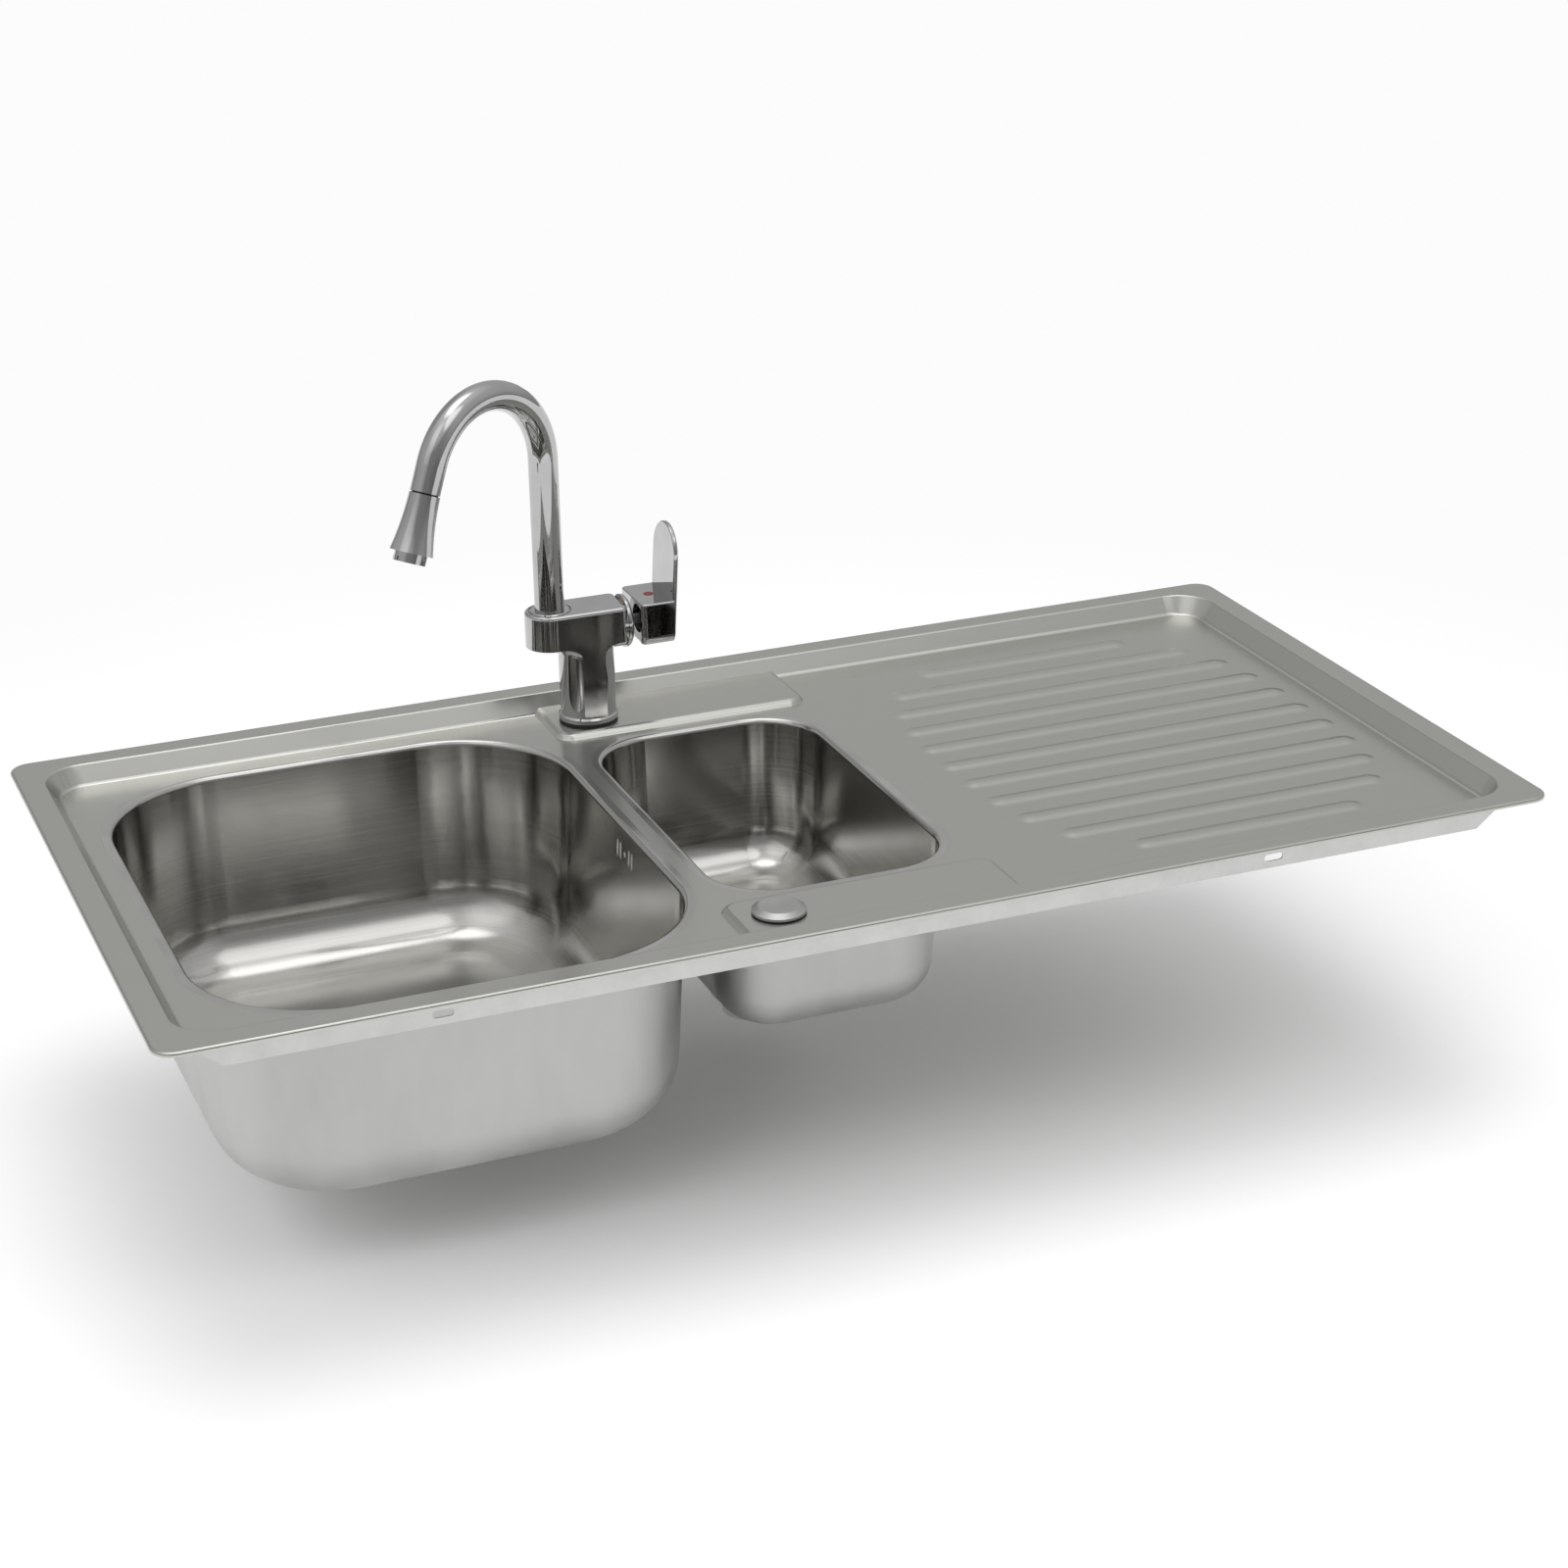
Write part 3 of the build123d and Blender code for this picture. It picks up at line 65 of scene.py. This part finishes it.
class Nodes:
    """Small builder for one material's node tree."""

    def __init__(self, name):
        self.material = bpy.data.materials.new(name)
        self.material.use_nodes = True
        self.tree = self.material.node_tree
        self.tree.nodes.clear()
        self.output = self.tree.nodes.new("ShaderNodeOutputMaterial")
        self.shader = self.tree.nodes.new("ShaderNodeBsdfPrincipled")
        self.link(self.shader, "BSDF", self.output, "Surface")
        self.coords = self.tree.nodes.new("ShaderNodeTexCoord")

    def link(self, source, source_socket, target, target_socket):
        """Join two sockets, each given by name or by index."""
        self.tree.links.new(source.outputs[source_socket], target.inputs[target_socket])

    def feed(self, node, index, value):
        """Give an input a number, a colour or a (node, socket) pair."""
        if isinstance(value, (int, float)):
            node.inputs[index].default_value = value
        elif isinstance(value[0], (int, float)):
            node.inputs[index].default_value = (*value, 1.0)
        else:
            self.link(value[0], value[1], node, index)

    def put(self, **values):
        """Set shader sockets by name, with spaces written as underscores."""
        for key, value in values.items():
            self.shader.inputs[key.replace("_", " ")].default_value = value

    def noise(self, scale, detail=3.0, roughness=0.55):
        """Noise over stretched object coordinates, scale given per metre and axis."""
        mapping = self.tree.nodes.new("ShaderNodeMapping")
        mapping.inputs["Scale"].default_value = scale
        self.link(self.coords, "Object", mapping, "Vector")
        node = self.tree.nodes.new("ShaderNodeTexNoise")
        node.inputs["Scale"].default_value = 1.0
        node.inputs["Detail"].default_value = detail
        node.inputs["Roughness"].default_value = roughness
        self.link(mapping, "Vector", node, "Vector")
        return node

    def spread(self, source, socket, low, high, start=0.35, end=0.65):
        """Map a source value to a range."""
        node = self.tree.nodes.new("ShaderNodeMapRange")
        node.inputs["From Min"].default_value = start
        node.inputs["From Max"].default_value = end
        node.inputs["To Min"].default_value = low
        node.inputs["To Max"].default_value = high
        self.link(source, socket, node, "Value")
        return node

    def mix(self, data_type, sockets, factor, values):
        """Blend of two values, led by a node's first output."""
        node = self.tree.nodes.new("ShaderNodeMix")
        node.data_type = data_type
        self.link(factor, 0, node, 0)
        for socket, value in zip(sockets, values):
            self.feed(node, socket, value)
        return node

    def mix_colour(self, factor, first, second):
        """Blend of two colours, each a tuple or a (node, socket) pair, on output 2."""
        return self.mix("RGBA", (6, 7), factor, (first, second))

    def mix_value(self, factor, first, second):
        """Blend of two values, each a number or a (node, socket) pair, on output 0."""
        return self.mix("FLOAT", (2, 3), factor, (first, second))

    def math(self, operation, *values):
        """Math node on numbers or (node, socket) pairs."""
        node = self.tree.nodes.new("ShaderNodeMath")
        node.operation = operation
        for index, value in enumerate(values):
            self.feed(node, index, value)
        return node

    def vector_math(self, operation, source, socket, fixed=None):
        """Vector math node on a source, with a fixed second vector where there is one."""
        node = self.tree.nodes.new("ShaderNodeVectorMath")
        node.operation = operation
        self.link(source, socket, node, 0)
        if fixed is not None:
            node.inputs[1].default_value = fixed
        return node

    def bump(self, source, socket, strength, distance):
        """Fine relief that tilts the shader's normal."""
        node = self.tree.nodes.new("ShaderNodeBump")
        node.inputs["Strength"].default_value = strength
        node.inputs["Distance"].default_value = distance
        self.link(source, socket, node, "Height")
        self.link(node, "Normal", self.shader, "Normal")

    def height(self):
        """Node whose Z output is the height in object space."""
        node = self.tree.nodes.new("ShaderNodeSeparateXYZ")
        self.link(self.coords, "Object", node, "Vector")
        return node

    def facing_out(self, centre):
        """1 where the surface faces away from a point, 0 where it faces it."""
        away = self.vector_math("SUBTRACT", self.coords, "Object", centre)
        dot = self.vector_math("DOT_PRODUCT", away, "Vector")
        self.link(self.coords, "Normal", dot, 1)
        return self.spread(dot, "Value", 0.0, 1.0, -FACING_FADE, FACING_FADE)

    def beside_seam(self, point, normal, half_width, reach):
        """0 within a thin disc about a point, 1 outside it, with a soft edge."""
        away = self.vector_math("SUBTRACT", self.coords, "Object", point)
        along = self.vector_math("DOT_PRODUCT", away, "Vector", normal)
        distance = self.math("ABSOLUTE", (along, "Value"))
        beside = self.spread(distance, 0, 0.0, 1.0, 0.8 * half_width, 1.2 * half_width)
        length = self.vector_math("LENGTH", away, "Vector")
        beyond = self.spread(length, "Value", 0.0, 1.0, reach, 1.1 * reach)
        return self.math("MAXIMUM", (beside, 0), (beyond, 0))


def satin_deck():
    """Fine satin sheet, brushed along its length."""
    n = Nodes("satin_deck_steel")
    grain = n.noise((22, 2600, 2600), 2.0, 0.5)
    cloud = n.noise((9, 14, 14), 3.0)
    tone = n.mix_colour(n.spread(grain, "Fac", 0.0, 1.0), (0.530, 0.530, 0.502), (0.548, 0.548, 0.520))
    shade = n.mix_colour(n.spread(cloud, "Fac", 0.0, 0.3), (tone, 2), (0.515, 0.515, 0.485))
    n.link(shade, 2, n.shader, "Base Color")
    rough = n.math("ADD", (n.spread(grain, "Fac", 0.22, 0.25), 0), (n.spread(cloud, "Fac", -0.02, 0.02), 0))
    n.link(rough, 0, n.shader, "Roughness")
    across = n.tree.nodes.new("ShaderNodeCombineXYZ")
    across.inputs["Y"].default_value = 1.0
    n.link(across, 0, n.shader, "Tangent")
    n.put(Metallic=1.0, Anisotropic=0.5)
    n.bump(grain, "Fac", 0.004, 0.0002)
    return n.material


def drawn_bowl(name, centre):
    """Drawn bowl: brushed round the inside, duller outside, polished along the lip."""
    n = Nodes(name)
    lines = n.noise((6, 6, 1400), 1.0, 0.5)
    cloud = n.noise((16, 16, 7), 3.0)
    ripple = n.noise((26, 26, 5), 1.0)
    outside = n.facing_out(centre)
    lip_start = DECK_FLOOR_Z - LIP_BRUSHED_DROP
    lip_end = DECK_FLOOR_Z - LIP_POLISHED_DROP
    lip = n.spread(n.height(), "Z", 0.0, 1.0, lip_start, lip_end)
    inner = n.mix_colour(n.spread(lines, "Fac", 0.0, 1.0), (0.500, 0.497, 0.478), (0.540, 0.537, 0.517))
    outer = n.mix_colour(n.spread(cloud, "Fac", 0.0, 1.0), (0.49, 0.49, 0.478), (0.59, 0.59, 0.577))
    both = n.mix_colour(outside, (inner, 2), (outer, 2))
    n.link(both, 2, n.shader, "Base Color")
    smears = n.spread(cloud, "Fac", -0.02, 0.02)
    inner_rough = n.math("ADD", (n.spread(lines, "Fac", 0.14, 0.18), 0), (smears, 0))
    outer_rough = n.spread(cloud, "Fac", 0.38, 0.48)
    rough = n.mix_value(outside, (inner_rough, 0), (outer_rough, 0))
    polished = n.mix_value(lip, (rough, 0), 0.16)
    n.link(polished, 0, n.shader, "Roughness")
    n.put(Metallic=1.0, Anisotropic=0.55, Anisotropic_Rotation=0.25)
    n.bump(ripple, "Fac", 0.35, 0.0008)
    return n.material


def polished_metal(
    name, dark, light, rough_low, rough_high, cloud_scale=40, grain=(900, 900, 900), bump=0.0, seam=None
):
    """Plated or turned metal with faint smears, and painted shade in a seam's groove where one is given."""
    n = Nodes(name)
    cloud = n.noise((cloud_scale,) * 3, 3.0)
    fine = n.noise(grain, 2.0)
    tone = n.mix_colour(n.spread(cloud, "Fac", 0.0, 1.0), dark, light)
    if seam:
        # Painted shade: a thin band about the seam is coloured near black
        tone = n.mix_colour(n.beside_seam(*seam), GROOVE_PAINTED_SHADE, (tone, 2))
    n.link(tone, 2, n.shader, "Base Color")
    smears = n.spread(cloud, "Fac", rough_low, rough_high)
    rough = n.math("ADD", (smears, 0), (n.spread(fine, "Fac", 0.0, 0.012), 0))
    n.link(rough, 0, n.shader, "Roughness")
    n.put(Metallic=1.0)
    if bump:
        n.bump(fine, "Fac", bump, 0.0002)
    return n.material


def moulded(name, dark, light, rough_low, rough_high, scale, bump):
    """Rubber or plastic with a fine moulded skin."""
    n = Nodes(name)
    skin = n.noise((scale,) * 3, 4.0)
    cloud = n.noise((25, 25, 25), 2.0)
    tone = n.mix_colour(n.spread(cloud, "Fac", 0.0, 1.0), dark, light)
    n.link(tone, 2, n.shader, "Base Color")
    n.link(n.spread(skin, "Fac", rough_low, rough_high), 0, n.shader, "Roughness")
    n.bump(skin, "Fac", bump, 0.0003)
    return n.material


# Materials by slot, and the nodes that have their own: dark and light tone, then the range of roughness
CHROME = ((0.49, 0.49, 0.49), (0.53, 0.53, 0.53), 0.03, 0.06)
looks = {
    "deck_steel": satin_deck(),
    "rail_steel": polished_metal(
        "rail_steel", (0.55, 0.55, 0.54), (0.66, 0.66, 0.65), 0.34, 0.46, 30, (40, 1200, 1200), 0.08
    ),
    "foam_seal": moulded("foam_seal", (0.05, 0.05, 0.05), (0.09, 0.09, 0.09), 0.75, 0.95, 700, 0.5),
    "black_rubber": moulded(
        "black_rubber", (0.012, 0.012, 0.012), (0.022, 0.022, 0.022), 0.45, 0.65, 900, 0.15
    ),
    "strainer_steel": polished_metal("strainer_steel", (0.56, 0.56, 0.55), (0.66, 0.66, 0.65), 0.14, 0.22),
    "white_plastic": moulded("white_plastic", (0.72, 0.72, 0.70), (0.80, 0.80, 0.78), 0.38, 0.5, 600, 0.06),
    "chrome": polished_metal("chrome_plate", *CHROME),
    "brass": polished_metal("turned_brass", (0.52, 0.36, 0.14), (0.66, 0.49, 0.22), 0.22, 0.34, bump=0.06),
    "grey_plastic": moulded("grey_plastic", (0.34, 0.35, 0.36), (0.42, 0.43, 0.44), 0.35, 0.5, 600, 0.06),
    "black_plastic": moulded("black_plastic", (0.03, 0.03, 0.03), (0.05, 0.05, 0.05), 0.4, 0.55, 600, 0.06),
    "red_plastic": moulded("red_plastic", (0.13, 0.012, 0.012), (0.20, 0.020, 0.020), 0.3, 0.42, 900, 0.05),
}
# Chrome with painted shade in the groove at the spout head's joint
chrome_painted_groove_shade = polished_metal("chrome_painted_groove_shade", *CHROME, seam=head_seam)
node_looks = {
    "main_bowl": drawn_bowl("main_bowl_steel", MAIN_BOWL_CENTRE),
    "half_bowl": drawn_bowl("half_bowl_steel", HALF_BOWL_CENTRE),
    "spout_tube": chrome_painted_groove_shade,
    "spout_head": chrome_painted_groove_shade,
    "tap_hole_cover": polished_metal("cover_satin", (0.47, 0.47, 0.455), (0.52, 0.52, 0.505), 0.38, 0.44),
}

slots = {entry["node"]: entry["material_slot"] for entry in frame["record"]["subparts"]}
for node_name, node in frame["nodes"].items():
    material = node_looks.get(node_name) or looks[slots[node_name]]
    node.data.materials.clear()
    node.data.materials.append(material)

# Camera at the photo's viewing angle
CAMERA_RIGHT = Vector((0.926415, -0.376206, -0.014968))
CAMERA_UP = Vector((0.157231, 0.350450, 0.923289))
CAMERA_BACK = Vector((-0.342101, -0.857703, 0.383814))
CAMERA_PLACE = Vector((-0.786621, -2.008794, 0.896566))
CAMERA_LENS = 75.661
CAMERA_SENSOR = 36.0
CAMERA_RANGE = 100.0

camera_data = bpy.data.cameras.new("photo_camera")
camera_data.sensor_width = CAMERA_SENSOR
camera_data.sensor_fit = "HORIZONTAL"
camera_data.lens = CAMERA_LENS
camera_data.clip_end = CAMERA_RANGE
camera = bpy.data.objects.new("photo_camera", camera_data)
axes = Matrix((CAMERA_RIGHT, CAMERA_UP, CAMERA_BACK)).transposed()
camera.matrix_world = Matrix.Translation(CAMERA_PLACE) @ axes.to_4x4()
scene.collection.objects.link(camera)
scene.camera = camera

# Floor under the lowest fitting: lit near the object, plain white from there outwards
FLOOR_HALF = 30.0
FLOOR_GAP = 0.004
FLOOR_LIT_RADIUS = 0.15
FLOOR_WHITE_RADIUS = 1.4
FLOOR_WHITE = 0.97
floor_z = cad_box[0][2] - FLOOR_GAP
corners = [(-1, -1), (1, -1), (1, 1), (-1, 1)]
floor_mesh = bpy.data.meshes.new("floor")
floor_mesh.from_pydata([(FLOOR_HALF * x, FLOOR_HALF * y, 0) for x, y in corners], [], [(0, 1, 2, 3)])
floor = bpy.data.objects.new("floor", floor_mesh)
floor.location = (0, 0, floor_z)
scene.collection.objects.link(floor)


def pale_floor():
    """Matt white floor that camera, glossy and transmission rays see as plain white far away."""
    n = Nodes("pale_floor")
    cloud = n.noise((1.5, 1.5, 1.5), 2.0)
    tone = n.mix_colour(n.spread(cloud, "Fac", 0.0, 1.0), (0.90, 0.90, 0.90), (0.92, 0.92, 0.92))
    n.link(tone, 2, n.shader, "Base Color")
    n.put(Roughness=0.9)
    white = n.tree.nodes.new("ShaderNodeEmission")
    white.inputs["Color"].default_value = (1, 1, 1, 1)
    white.inputs["Strength"].default_value = FLOOR_WHITE
    reach = n.vector_math("LENGTH", n.coords, "Object")
    far = n.spread(reach, "Value", 0.0, 1.0, FLOOR_LIT_RADIUS, FLOOR_WHITE_RADIUS)
    far.interpolation_type = "SMOOTHSTEP"
    rays = n.tree.nodes.new("ShaderNodeLightPath")
    shiny = n.math("MAXIMUM", (rays, "Is Glossy Ray"), (rays, "Is Transmission Ray"))
    seen = n.math("MAXIMUM", (rays, "Is Camera Ray"), (shiny, 0))
    share = n.math("MULTIPLY", (far, 0), (seen, 0))
    blend = n.tree.nodes.new("ShaderNodeMixShader")
    n.link(share, 0, blend, 0)
    n.link(n.shader, "BSDF", blend, 1)
    n.link(white, "Emission", blend, 2)
    n.link(blend, 0, n.output, "Surface")
    return n.material


floor_mesh.materials.append(pale_floor())

# Studio surroundings: grey walls that brighten upwards and are darker behind the camera
SKY_STOPS = ((0.0, 0.32), (0.15, 0.42), (0.32, 0.52), (0.65, 0.58), (1.0, 0.92))
DARK_SIDE = (-0.30, -0.954, 0.0)
DARK_SPAN = (0.35, 0.85)
DARK_LEVEL = 0.55
DARK_FADE = (0.35, 0.70)
# Soft patches: direction, span of nearness to it over which the patch fades in, and change of the sky's level
LEFT_PATCH = ((-0.62, -0.36, 0.697), (0.86, 1.0), 0.6)
TOP_PATCH = ((0.02, 0.15, 0.988), (0.92, 0.985), 1.5)
FRONT_PATCH = ((0.204, -0.505, 0.839), (0.95, 0.985), 0.9)
REAR_LEFT_SHADE = ((-0.259, 0.798, 0.545), (0.90, 0.99), -0.3)
world = bpy.data.worlds.new("studio")
scene.world = world
world.use_nodes = True
world_tree = world.node_tree
world_tree.nodes.clear()
world_out = world_tree.nodes.new("ShaderNodeOutputWorld")
world_back = world_tree.nodes.new("ShaderNodeBackground")
world_coords = world_tree.nodes.new("ShaderNodeTexCoord")
world_split = world_tree.nodes.new("ShaderNodeSeparateXYZ")
world_ramp = world_tree.nodes.new("ShaderNodeValToRGB")
world_tree.links.new(world_coords.outputs["Generated"], world_split.inputs[0])
world_tree.links.new(world_split.outputs["Z"], world_ramp.inputs["Fac"])
ramp = world_ramp.color_ramp
while len(ramp.elements) < len(SKY_STOPS):
    ramp.elements.new(0.5)
for element, (place, level) in zip(ramp.elements, SKY_STOPS):
    element.position = place
    element.color = (level, level, level, 1.0)


def smooth_range(source, span, low, high):
    """Smooth step of a world value between two levels."""
    node = world_tree.nodes.new("ShaderNodeMapRange")
    node.interpolation_type = "SMOOTHSTEP"
    node.inputs["From Min"].default_value = span[0]
    node.inputs["From Max"].default_value = span[1]
    node.inputs["To Min"].default_value = low
    node.inputs["To Max"].default_value = high
    world_tree.links.new(source, node.inputs["Value"])
    return node.outputs[0]


def towards(side):
    """How far a world direction points to one side, from -1 to 1."""
    node = world_tree.nodes.new("ShaderNodeVectorMath")
    node.operation = "DOT_PRODUCT"
    node.inputs[1].default_value = side
    world_tree.links.new(world_coords.outputs["Generated"], node.inputs[0])
    return node.outputs["Value"]


def world_math(operation, first, second):
    """Math node in the world's tree."""
    node = world_tree.nodes.new("ShaderNodeMath")
    node.operation = operation
    world_tree.links.new(first, node.inputs[0])
    world_tree.links.new(second, node.inputs[1])
    return node.outputs[0]


dark_side = smooth_range(towards(DARK_SIDE), DARK_SPAN, 1.0, DARK_LEVEL)
high_sky = smooth_range(world_split.outputs["Z"], DARK_FADE, 0.0, 1.0)
sky_level = world_math("MAXIMUM", dark_side, high_sky)
for side, span, gain in (LEFT_PATCH, TOP_PATCH, FRONT_PATCH, REAR_LEFT_SHADE):
    sky_level = world_math("ADD", sky_level, smooth_range(towards(side), span, 0.0, gain))
world_tree.links.new(world_ramp.outputs["Color"], world_back.inputs["Color"])
world_tree.links.new(sky_level, world_back.inputs["Strength"])
world_tree.links.new(world_back.outputs[0], world_out.inputs["Surface"])


def softbox(name, place, target, size, power):
    """Square lamp facing a point, left out of mirror reflections."""
    data = bpy.data.lights.new(name, "AREA")
    data.size = size
    data.energy = power
    lamp = bpy.data.objects.new(name, data)
    lamp.location = place
    lamp.visible_glossy = False
    way = Vector(target) - Vector(place)
    lamp.rotation_euler = way.to_track_quat("-Z", "Y").to_euler()
    scene.collection.objects.link(lamp)


# Lamps: place and aim in metres, side in metres, power in watts
softbox("key_softbox", (-3.0, -1.6, 3.4), (0, 0, 0), 2.8, 60)
softbox("fill_softbox", (3.2, -2.2, 2.8), (0.1, 0, 0), 2.6, 28)
softbox("top_softbox", (0.2, 0.4, 3.8), (0, 0, 0), 2.8, 50)
